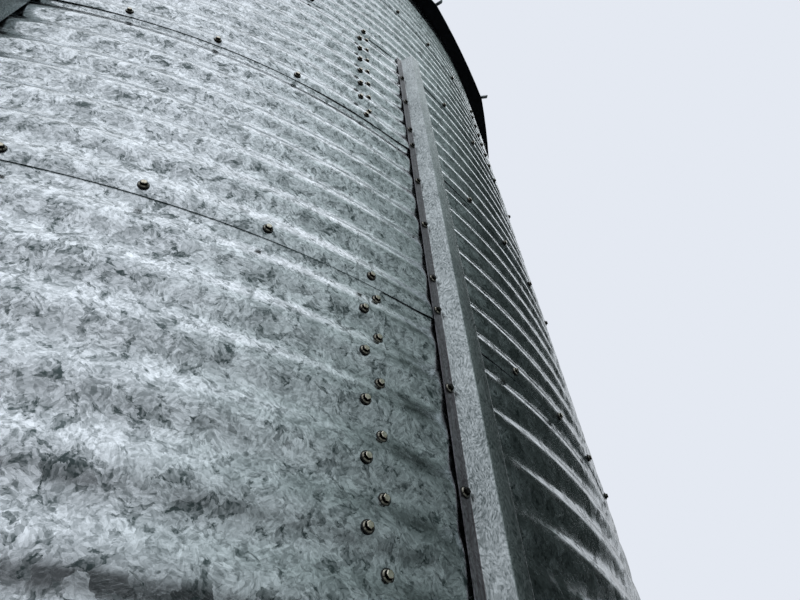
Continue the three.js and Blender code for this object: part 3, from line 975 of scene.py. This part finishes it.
@dataclass
class Roof:
    """The cone roof: flat panels, a rib over each joint, the collar and the cap."""

    plan: SiloPlan
    coats: Coats
    section_panels: tuple[int, ...] = (4, 4, 4, 4, 3)
    pitch: float = math.radians(30)
    eave_radius: float = mm(2250)
    eave_bow: float = mm(13)
    bow_steps: int = 6
    thickness: float = mm(4)
    hem_depth: float = mm(14)
    hem_faces: Pair = (mm(3), mm(0.5))  # how far the hem's inner and outer face lie inside the eave
    hem_bevel: Pair = (mm(1.5), mm(0.8))  # inwards and downwards
    section_gap: float = mm(0.3)
    first_azimuth: float = math.radians(6.23)
    rib_width: float = mm(20)
    rib_height: float = mm(25)
    rib_points: int = 9
    rib_sink: float = mm(1)
    rib_reach: float = mm(35)
    rib_start: float = mm(339)
    peak_opening: float = mm(300)
    collar_radius: float = mm(291)
    collar_height: float = mm(62)
    cap_radius: float = mm(350)
    cap_pitch: float = math.radians(24)
    cap_thickness: float = mm(4)
    rim_inset: float = mm(4)
    roll_size: Pair = (mm(3.6), mm(3))  # across and up
    roll_turns: tuple[int, ...] = (10, 42, 74, 106, 138, 170)  # degrees round the cap's rolled edge
    knob_foot: float = mm(46)
    knob_top: float = mm(40)
    knob_rise: float = mm(2)
    cap_steps_per_panel: int = 3
    downward: float = -0.5  # faces whose normal has less than this along Z are painted dark as shade

    @property
    def panels(self) -> int:
        """Panels round the roof."""
        return sum(self.section_panels)

    @property
    def panel_angle(self) -> float:
        """Angle that one panel covers."""
        return 2 * math.pi / self.panels

    @property
    def lift(self) -> float:
        """Height of the panels' top above their underside."""
        return self.thickness / math.cos(self.pitch)

    def hip_azimuth(self, hip: float) -> float:
        """Azimuth of a joint line between panels."""
        return self.first_azimuth + hip * self.panel_angle

    def underside(self, radius: float) -> float:
        """Works out the height of the panels' underside on a joint line.

        Args:
            radius: Distance from the axis.

        Returns:
            The height.
        """
        slope = math.tan(self.pitch) * math.cos(self.panel_angle / 2)
        seat = self.plan.crest_radius / math.cos(self.panel_angle / 2)
        return self.plan.wall_top + self.plan.seat_gap + (seat - radius) * slope

    def on_panel(self, hip: float, radius: float, bow: float, lift: float) -> Vector:
        """A point on the panel that holds a fraction of a joint number.

        Args:
            hip: Joint number, with a fraction between two joints.
            radius: Radius of the panel's corner in the same level line.
            bow: How far the level line bows outwards in the panel's middle.
            lift: Height above the panel's underside.

        Returns:
            The point.
        """
        off_middle = (hip % 1.0 - 0.5) * self.panel_angle
        chord = radius * math.cos(self.panel_angle / 2)
        reach = bow * (1 - (2 * (hip % 1.0) - 1) ** 2)
        height = self.underside(radius) - reach * math.tan(self.pitch) + lift
        return self.plan.point((chord + reach) / math.cos(off_middle), self.hip_azimuth(hip), height)

    def section(self, first: int, count: int, name: str) -> bpy.types.Object:
        """Makes the panels of one section, with their eave folded down.

        Args:
            first: Joint number of the section's first edge.
            count: Number of panels.
            name: The piece's name.

        Returns:
            The panels as one piece.
        """
        inner, outer = (self.eave_radius - inset for inset in self.hem_faces)
        rows = [
            (self.peak_opening, 0.0, 0.0),
            (inner, self.eave_bow, 0.0),
            (inner, self.eave_bow, -self.hem_depth),
            (outer, self.eave_bow, -self.hem_depth),
            (outer, self.eave_bow, self.lift - self.hem_bevel[1]),
            (outer - self.hem_bevel[0], self.eave_bow, self.lift),
            (self.peak_opening, 0.0, self.lift),
        ]
        across, steps = len(rows), count * self.bow_steps
        hips = [first + i / self.bow_steps for i in range(steps + 1)]
        hips[-1] -= self.section_gap / self.eave_radius / self.panel_angle
        points = [self.on_panel(hip, *row) for hip in hips for row in rows]
        faces: list[tuple[int, ...]] = []
        for i in range(steps):
            for j in range(across):
                a, b = i * across + j, i * across + (j + 1) % across
                faces.append((a, a + across, b + across, b))
        faces.append(tuple(range(across)))
        faces.append(tuple(steps * across + j for j in reversed(range(across))))
        # The underside and the hem's inner face and foot are painted dark as shade
        under = [1, 1, 1] + [0] * (across - 3)
        materials = [self.coats[Coat.ROOF], self.coats[Coat.SOFFIT]]
        return piece_from_faces(name, points, faces, materials, under * steps + [0, 0])

    def ribs(self) -> bpy.types.Mesh:
        """Lays one arched rib over every joint line.

        Returns:
            The ribs as one mesh.
        """
        outer = self.eave_radius + self.rib_reach
        values = {
            "Ribs": self.panels,
            "First Azimuth": self.hip_azimuth(0) - math.pi / 2,
            "Inner Radius": self.rib_start,
            "Outer Radius": outer,
            "Inner Height": self.underside(self.rib_start) + self.lift - self.rib_sink,
            "Outer Height": self.underside(outer) + self.lift - self.rib_sink,
            "Rib Width": self.rib_width,
            "Rib Height": self.rib_height,
            "Material": self.coats[Coat.ROOF],
        }
        grow = Growth("roof_ribs", values)
        add, given = grow.add, grow.given
        start = add(Kind.JOIN, given["Inner Radius"], 0.0, given["Inner Height"])[0]
        end = add(Kind.JOIN, given["Outer Radius"], 0.0, given["Outer Height"])[0]
        line = add("GeometryNodeCurvePrimitiveLine", start, end)[0]
        bend = {"Resolution": self.rib_points, "Radius": 1.0, "Start Angle": math.pi, "Sweep Angle": math.pi}
        arch = add("GeometryNodeCurveArc", named=bend, mode="RADIUS")[0]
        size = add(Kind.JOIN, add(Kind.MULTIPLY, given["Rib Width"], 0.5)[0], given["Rib Height"], 1.0)[0]
        shape = add(Kind.MOVE, arch, named={"Scale": size})[0]
        loop = add("GeometryNodeSetSplineCyclic", shape, named={"Cyclic": True})[0]
        bar = add("GeometryNodeCurveToMesh", line, loop, named={"Fill Caps": True})[0]
        spread = {"Count": given["Ribs"], "Offset": (0, 0, 0)}
        spots = add("GeometryNodeMeshLine", named=spread, mode="OFFSET")[0]
        share = add(Kind.DIVIDE, add("GeometryNodeInputIndex")[0], given["Ribs"])[0]
        turn = add(Kind.MULTIPLY_ADD, share, 2 * math.pi, given["First Azimuth"])[0]
        spin = add(Kind.JOIN, 0.0, 0.0, turn)[0]
        grow.end(add(Kind.INSTANCES, spots, named={"Instance": bar, "Rotation": spin})[0])
        return grow.grow("roof_ribs", bpy.data.meshes.new("rib_seed"))

    def build(self) -> None:
        """Makes the panels, ribs, collar and cap."""
        first = 0
        for number, count in enumerate(self.section_panels, start=1):
            node = f"roof_section_{number}"
            finish_piece(self.section(first, count, f"{node}_panels"), [node])
            first += count
        ribs = self.ribs()
        soften(ribs)
        # The ribs' downward faces take the soffit's painted shade
        ribs.materials.append(self.coats[Coat.SOFFIT])
        for face in ribs.polygons:
            if face.normal.z < self.downward:
                face.material_index = 1
        finish_piece(piece_from_mesh("roof_ribs", ribs))
        dress("peak_collar", self.coats[Coat.ROOF])
        self.build_cap()

    def under_cap(self, radius: float) -> float:
        """Height of the cap's underside."""
        seat = self.underside(self.collar_radius) + self.collar_height + self.plan.seat_gap
        return seat + (self.collar_radius - radius) * math.tan(self.cap_pitch)

    def cap_rings(self) -> list[Pair]:
        """Works out the cap's outline, from its rolled edge up to its knob.

        Returns:
            The outline's radii and heights.
        """
        across, up = self.roll_size
        rim = self.cap_radius - self.rim_inset
        level = self.under_cap(rim) + up
        turns = [math.radians(turn) for turn in self.roll_turns]
        roll = [(rim + across * math.sin(turn), level - up * math.cos(turn)) for turn in turns]
        foot = (self.knob_foot, self.under_cap(self.knob_foot) + self.cap_thickness)
        return [*roll, foot, (self.knob_top, self.under_cap(0) + self.knob_rise)]

    def build_cap(self) -> None:
        """Makes the cap with its rolled edge."""
        peak, rings = self.under_cap(0), self.cap_rings()
        steps, across = self.panels * self.cap_steps_per_panel, len(rings)
        points: list[Vector] = []
        for i in range(steps):
            azimuth = self.hip_azimuth(0) + 2 * math.pi * i / steps
            points += [self.plan.point(radius, azimuth, height) for radius, height in rings]
        bottom, top = len(points), len(points) + 1
        points += [Vector((0, 0, peak)), Vector((0, 0, peak + self.cap_thickness))]
        faces: list[tuple[int, ...]] = []
        for i in range(steps):
            here, there = i * across, ((i + 1) % steps) * across
            faces.append((bottom, there, here))
            for j in range(across - 1):
                faces.append((here + j, there + j, there + j + 1, here + j + 1))
            faces.append((top, here + across - 1, there + across - 1))
        piece = piece_from_faces("peak_cap_cover", points, faces, [self.coats[Coat.ROOF]])
        finish_piece(piece, ["peak_cap"])


@dataclass(frozen=True)
class Frustum:
    """One layer of a bolt: its finish, corners, two radii, foot and height."""

    coat: Coat
    corners: int
    bottom: float
    top: float
    base: float
    height: float


class BoltLayer(Enum):
    """The layers of a bolt that show, from the sheet outwards. Each is set a little into the next."""

    SEALS = Frustum(Coat.SEAL, 16, mm(11.6), mm(11.2), mm(-0.1), mm(2.2))
    WASHERS = Frustum(Coat.WASHER, 16, mm(9.8), mm(8), mm(2), mm(1.9))
    # The bolt flanges and the heads' sides take the painted shade
    FLANGES = Frustum(Coat.BOLT_SIDE, 16, mm(8), mm(7.4), mm(3.7), mm(1.1))
    HEADS = Frustum(Coat.BOLT_SIDE, 6, mm(7), mm(7), mm(4.6), mm(3.7))
    # The crowns are painted pale as the lit face of each head
    CROWNS = Frustum(Coat.BOLT, 6, mm(7), mm(5.6), mm(8.1), mm(1))


@dataclass(frozen=True)
class Seat:
    """Where one bolt sits: the point on the sheet, the way out of it and its size."""

    point: Vector
    facing: Vector
    scale: float = 1.0


@dataclass
class Bolts:
    """Hexagon flange bolts with dished washers on rubber seals, scattered by Geometry Nodes."""

    plan: SiloPlan
    lap: SheetLap
    stiffeners: Stiffeners
    roof: Roof
    coats: Coats
    seam_columns: Pair = (-0.083, 0.072)  # of the crests' and the valleys' bolts, in bolt spacings
    flange_waves: tuple[int, ...] = (1, 3, 5, 7)  # of each ring
    flange_end: float = mm(20)  # below the top that has no bolt
    rib_offset: float = mm(17)
    rib_lean: float = math.atan(0.017)  # share of half a panel by which its bolts turn to the rib
    rib_radii: tuple[float, ...] = (mm(480), mm(810), mm(1140), mm(1470), mm(1800), mm(2130))
    anchor_offset: float = mm(62)
    anchor_reach: float = mm(72)
    anchor_scale: float = 1.8

    def tree(self) -> Growth:
        """Builds the tree that sets one layer of a bolt on every seat.

        Returns:
            The tree, ready to run.
        """
        sizes = dict.fromkeys(("Bottom Radius", "Top Radius", "Base", "Height"), 0.0)
        grow = Growth("bolt_layer", {"Corners": 6, "Seed": 0, "Material": self.coats[Coat.BOLT], **sizes})
        add, given = grow.add, grow.given
        cone = {
            "Vertices": given["Corners"],
            "Radius Top": given["Top Radius"],
            "Radius Bottom": given["Bottom Radius"],
            "Depth": given["Height"],
        }
        frustum = add("GeometryNodeMeshCone", named=cone, fill_type="NGON")[0]
        based = add(Kind.MOVE, frustum, named={"Translation": add(Kind.JOIN, 0.0, 0.0, given["Base"])[0]})[0]
        facing = add(Kind.STORED, "facing", data_type="FLOAT_VECTOR")[0]
        aimed = add("FunctionNodeAlignRotationToVector", named={"Vector": facing}, axis="Z")[0]
        draw = {2: 0.0, 3: math.pi / 3, "Seed": given["Seed"]}
        spin = add("FunctionNodeRandomValue", named=draw, data_type="FLOAT")[1]
        tumbled = add(Kind.JOIN, 0.0, 0.0, spin)[0]
        turned = add("FunctionNodeRotateRotation", aimed, tumbled, rotation_space="LOCAL")[0]
        points = add("GeometryNodeMeshToPoints", given["Geometry"])[0]
        size = add(Kind.STORED, "size", data_type="FLOAT")[0]
        seated = {"Instance": based, "Rotation": turned, "Scale": size}
        grow.end(add(Kind.INSTANCES, points, named=seated)[0])
        return grow

    def seat_mesh(self, name: str, seats: Sequence[Seat]) -> bpy.types.Mesh:
        """Makes a mesh of loose points that says where bolts sit.

        Args:
            name: The mesh's name.
            seats: The seats.

        Returns:
            The mesh, with a facing and a size on each point.
        """
        mesh = bpy.data.meshes.new(name)
        mesh.from_pydata([tuple(seat.point) for seat in seats], [], [])
        facing = mesh.attributes.new("facing", "FLOAT_VECTOR", "POINT")
        facing.data.foreach_set("vector", [c for seat in seats for c in seat.facing])
        size = mesh.attributes.new("size", "FLOAT", "POINT")
        size.data.foreach_set("value", [seat.scale for seat in seats])
        return mesh

    def wall_seat(self, bolt: float, height: float) -> Seat:
        """Works out a seat on two lapped sheets of the wall.

        Args:
            bolt: Bolt number round the wall.
            height: Height above the ground.

        Returns:
            The seat.
        """
        plan, azimuth = self.plan, self.plan.azimuth(bolt)
        radius = plan.crest_radius - self.lap.thickness - plan.crest_to(height)
        return Seat(plan.point(radius, azimuth, height), plan.point(1.0, azimuth, 0.0))

    def lap_seats(self) -> list[Seat]:
        """Seats the bolts along the laps between rings, but for those under a stiffener.

        Returns:
            The seats.
        """
        plan = self.plan
        hidden = set(plan.braced_bolts(plan.bolts_round))
        return [
            self.wall_seat(bolt, lap * plan.ring_height)
            for lap in range(1, plan.rings)
            for bolt in range(plan.bolts_round)
            if lap > plan.braced_rings or bolt not in hidden
        ]

    def seam_seats(self) -> list[Seat]:
        """Seats the two staggered bolt columns on each vertical seam.

        Returns:
            The seats.
        """
        plan = self.plan
        on_crests, in_valleys = self.seam_columns
        spots = [(on_crests, wave) for wave in range(1, plan.waves_per_ring)]
        spots += [(in_valleys, wave + 0.5) for wave in range(plan.waves_per_ring)]
        return [
            self.wall_seat(
                plan.ring_seams[ring] + sheet * plan.bolts_per_sheet + off,
                ring * plan.ring_height + wave * plan.wave_pitch,
            )
            for ring in range(plan.rings)
            for sheet in range(plan.sheets_round)
            for off, wave in spots
        ]

    def stiffener_seats(self) -> list[Seat]:
        """Seats the bolts through the stiffeners' flanges, on every other crest.

        Returns:
            The seats.
        """
        plan, post = self.plan, self.stiffeners
        turn = math.atan2(post.fold + post.flange_width / 2, plan.crest_radius)
        radius = plan.crest_radius + plan.seat_gap + post.thickness
        end = plan.braced_rings * plan.ring_height - self.flange_end
        heights = [
            ring * plan.ring_height + wave * plan.wave_pitch
            for ring in range(plan.braced_rings)
            for wave in self.flange_waves
        ]
        seats = []
        for azimuth in plan.stiffener_azimuths():
            way = plan.point(1.0, azimuth - turn, 0.0)
            for height in heights:
                if height <= end:
                    point = plan.point(radius, azimuth - turn, height + plan.wave_rise / 2)
                    seats.append(Seat(point, way))
        return seats

    def roof_seats(self) -> list[Seat]:
        """Seats the bolts beside the roof's ribs.

        Returns:
            The seats.
        """
        roof = self.roof
        drop = self.rib_offset * math.tan(roof.pitch) * math.sin(roof.panel_angle / 2)
        seats = []
        for hip in range(roof.panels):
            for side in (-1, 1):
                middle = roof.hip_azimuth(hip) + side * roof.panel_angle / 2 * (1 - self.rib_lean)
                facing = self.plan.point(math.sin(roof.pitch), middle, math.cos(roof.pitch)).normalized()
                for radius in self.rib_radii:
                    azimuth = roof.hip_azimuth(hip) + side * self.rib_offset / radius
                    point = self.plan.point(radius, azimuth, roof.underside(radius) + roof.lift - drop)
                    seats.append(Seat(point, facing))
        return seats

    def anchor_seats(self) -> list[Seat]:
        """Seats the anchor bolts on the stiffeners' foot plates.

        Returns:
            The seats.
        """
        plan = self.plan
        out, top = plan.crest_radius + self.anchor_reach, self.stiffeners.foot_size[2]
        turns = [side * self.anchor_offset / out for side in (-1, 1)]
        return [
            Seat(plan.point(out, azimuth + turn, top), Vector((0, 0, 1)), self.anchor_scale)
            for azimuth in plan.stiffener_azimuths()
            for turn in turns
        ]

    def build(self) -> None:
        """Makes every layer of every group of bolts."""
        groups: dict[str, tuple[Callable[[], list[Seat]], str]] = {
            "lap": (self.lap_seats, "wall_zinc"),
            "seam": (self.seam_seats, "wall_zinc"),
            "stiffener": (self.stiffener_seats, "stiffener_zinc"),
            "roof": (self.roof_seats, "roof_zinc"),
            "anchor": (self.anchor_seats, "base_zinc"),
        }
        tree = self.tree()
        for seed, (group, (seats, slot)) in enumerate(groups.items()):
            places = self.seat_mesh(f"{group}_seats", seats())
            for layer in BoltLayer:
                shape = layer.value
                # The stiffeners' bolts are painted dark all over, as the shade they stand in
                coat = Coat.BOLT_SIDE if group == "stiffener" and layer is BoltLayer.CROWNS else shape.coat
                values = {
                    "Corners": shape.corners,
                    "Bottom Radius": shape.bottom,
                    "Top Radius": shape.top,
                    "Base": shape.base,
                    "Height": shape.height,
                    "Seed": seed,
                    "Material": self.coats[coat],
                }
                mesh = tree.grow(f"{group}_bolt_{layer.name.lower()}", places, values)
                mesh.set_sharp_from_angle(angle=SHARP_EDGE)
                finish_piece(piece_from_mesh(mesh.name, mesh))


@dataclass(frozen=True)
class PhotoView:
    """The photograph's viewing point and direction, close to the wall and steeply up it."""

    distance: float = mm(2875.5)
    height: float = mm(1454.7)
    yaw: float = math.radians(29.93)
    pitch: float = math.radians(48.87)
    roll: float = math.radians(-4.84)
    lens_mm: float = 27.31
    sensor_mm: float = 36.0
    clip: Pair = (mm(20), 200.0)

    def build(self) -> None:
        """Makes the camera."""
        yaw, pitch, roll = self.yaw, self.pitch, self.roll
        ahead = Vector((math.sin(yaw) * math.cos(pitch), math.cos(yaw) * math.cos(pitch), math.sin(pitch)))
        level = ahead.cross(Vector((0, 0, 1))).normalized()
        above = level.cross(ahead)
        right = math.cos(roll) * level + math.sin(roll) * above
        up = -math.sin(roll) * level + math.cos(roll) * above
        data = bpy.data.cameras.new("photo_camera")
        data.lens = self.lens_mm
        data.sensor_width = self.sensor_mm
        data.sensor_fit = "HORIZONTAL"
        data.clip_start, data.clip_end = self.clip
        camera = bpy.data.objects.new("photo_camera", data)
        turn = Matrix((right, up, -ahead)).transposed().to_4x4()
        camera.matrix_world = Matrix.Translation((0, -self.distance, self.height)) @ turn
        bpy.context.scene.collection.objects.link(camera)
        bpy.context.scene.camera = camera


@dataclass(frozen=True)
class StudioFloor(Finish):
    """Matt pale paint, with painted shade that darkens it where the wall stands on it."""

    fade: Pair = (2.1, 5.5)  # distances from the axis over which the painted shade ends

    def look(self, add: Adder) -> Look:
        """Draws the shade.

        Args:
            add: Adds a node to the material's tree.

        Returns:
            The shader's inputs by name.
        """
        # Painted shade near the wall, fading out with distance from the axis
        away = add(Kind.VECTOR, add(Kind.PLACE)["Object"], operation="LENGTH")["Value"]
        share = add(Kind.FADE, away, *self.fade, 0.0, 1.0)[0]
        return {"Base Color": self.between(add, share), "Roughness": self.roughness}


@dataclass
class Studio:
    """A pale floor with painted shade by the wall, under a broad, soft dome of light that has one dark side.
    """

    floor_radius: float = 9.0
    floor_corners: int = 96
    floor_drop: float = mm(0.5)
    # Matt pale paint with painted shade by the wall, so that the low waves have something to mirror
    floor: Finish = StudioFloor("pale_studio_floor", "B4B6B4", "6C6E6C", 0.9, 0.0)
    backdrop: str = "E4E9F2"
    dome_colour: str = "E9EDF2"
    dark_colour: str = "D3ECE8"
    dome_power: float = 1.37
    horizon: Pair = arc(-5, 11)
    horizon_share: float = 0.12
    low_share: float = 0.55  # of the light from overhead, just above the horizon
    dark_left: Pair = arc(-5, 72)
    dark_right: Pair = arc(104.5, 107)
    dark_lean: float = -0.15  # of azimuth for the cube of the height, on the right edge
    dark_top: Pair = arc(51, 74)
    dark_depth: float = 0.95
    strip_gain: Pair = (-0.15, 1.0)  # in the bright strip past the dark side, low and high
    strip_rise: Pair = arc(36, 70)
    strip_end: Pair = arc(118, 128)
    past_loss: float = 0.45  # of the light past that strip
    past_end: Pair = arc(140, 178)

    def build(self) -> None:
        """Makes the floor and the dome, with an even pale backdrop for the camera alone."""
        sheet = bmesh.new()
        bmesh.ops.create_circle(sheet, cap_ends=True, segments=self.floor_corners, radius=self.floor_radius)
        mesh = bpy.data.meshes.new("floor")
        sheet.to_mesh(mesh)
        sheet.free()
        mesh.transform(Matrix.Translation((0, 0, -self.floor_drop)))
        mesh.materials.append(self.floor.build())
        piece_from_mesh("floor", mesh)
        world = bpy.data.worlds.new("soft_dome")
        bpy.context.scene.world = world
        world.use_nodes = True
        world.node_tree.nodes.clear()
        add = partial(add_node, world.node_tree)
        colour, power = self.dome(add)
        lit = add(Kind.LIGHT, colour, power)[0]
        seen = add(Kind.LIGHT, linear(self.backdrop), 1.0)[0]
        eye = add("ShaderNodeLightPath")["Is Camera Ray"]
        add("ShaderNodeOutputWorld", add("ShaderNodeMixShader", eye, lit, seen)[0])

    def dome(self, add: Adder) -> tuple[Socket, Socket]:
        """Works out the dome's light in every direction.

        Args:
            add: Adds a node to the world's tree.

        Returns:
            The light's colour and its strength.
        """
        east, north, up = add(Kind.SPLIT, add(Kind.PLACE)["Generated"])
        south = add(Kind.MULTIPLY, north, -1.0)[0]
        azimuth = add("ShaderNodeMath", east, south, operation="ARCTAN2")[0]
        height = add("ShaderNodeMath", up, operation="ARCSINE")[0]
        cube = add("ShaderNodeMath", height, 3.0, operation="POWER")[0]
        leaning = add(Kind.MULTIPLY_ADD, cube, -self.dark_lean, azimuth)[0]
        inside = add(Kind.FADE, leaning, *self.strip_end, 1.0, 0.0)[0]
        strip = add(Kind.MULTIPLY, add(Kind.FADE, leaning, *self.dark_right, 0.0, 1.0)[0], inside)[0]
        past = add(Kind.FADE, leaning, *self.strip_end, 1.0, 1.0 - self.past_loss)[0]
        gain = add(Kind.FADE, height, *self.strip_rise, *self.strip_gain)[0]
        side = add(Kind.MULTIPLY_ADD, strip, gain, past)[0]
        side = add(Kind.ADD, side, add(Kind.FADE, azimuth, *self.past_end, 0.0, self.past_loss)[0])[0]
        dark = add(Kind.RANGE, azimuth, *self.dark_left, 0.0, 1.0)[0]
        dark = add(Kind.MULTIPLY, dark, add(Kind.FADE, leaning, *self.dark_right, 1.0, 0.0)[0])[0]
        dark = add(Kind.MULTIPLY, dark, add(Kind.FADE, height, *self.dark_top, self.dark_depth, 0.0)[0])[0]
        colour = add(Kind.MIX, dark, named={6: linear(self.dome_colour), 7: linear(self.dark_colour)})[2]
        horizon = add(Kind.FADE, height, *self.horizon, self.horizon_share, 1.0)[0]
        overhead = add(Kind.FADE, height, 0.0, math.pi / 2, self.low_share, 1.0)[0]
        power = add(Kind.SUBTRACT, 1.0, dark)[0]
        for factor in (horizon, overhead, side, self.dome_power):
            power = add(Kind.MULTIPLY, power, factor)[0]
        return colour, power


def main() -> None:
    """Builds the silo's looks in order."""
    logging.basicConfig(level=logging.INFO, format="%(name)s %(message)s")
    plan = SiloPlan()
    lap = SheetLap()
    coats = {coat: coat.value.build() for coat in Coat}
    WallSheets(plan, lap, coats).build()
    stiffeners = Stiffeners(plan, coats)
    stiffeners.build()
    roof = Roof(plan, coats)
    roof.build()
    Bolts(plan, lap, stiffeners, roof, coats).build()
    dress("base_angle", coats[Coat.ANGLE])
    Studio().build()
    PhotoView().build()
    bpy.context.scene.view_settings.view_transform = "Standard"


if __name__ == "__main__":
    main()
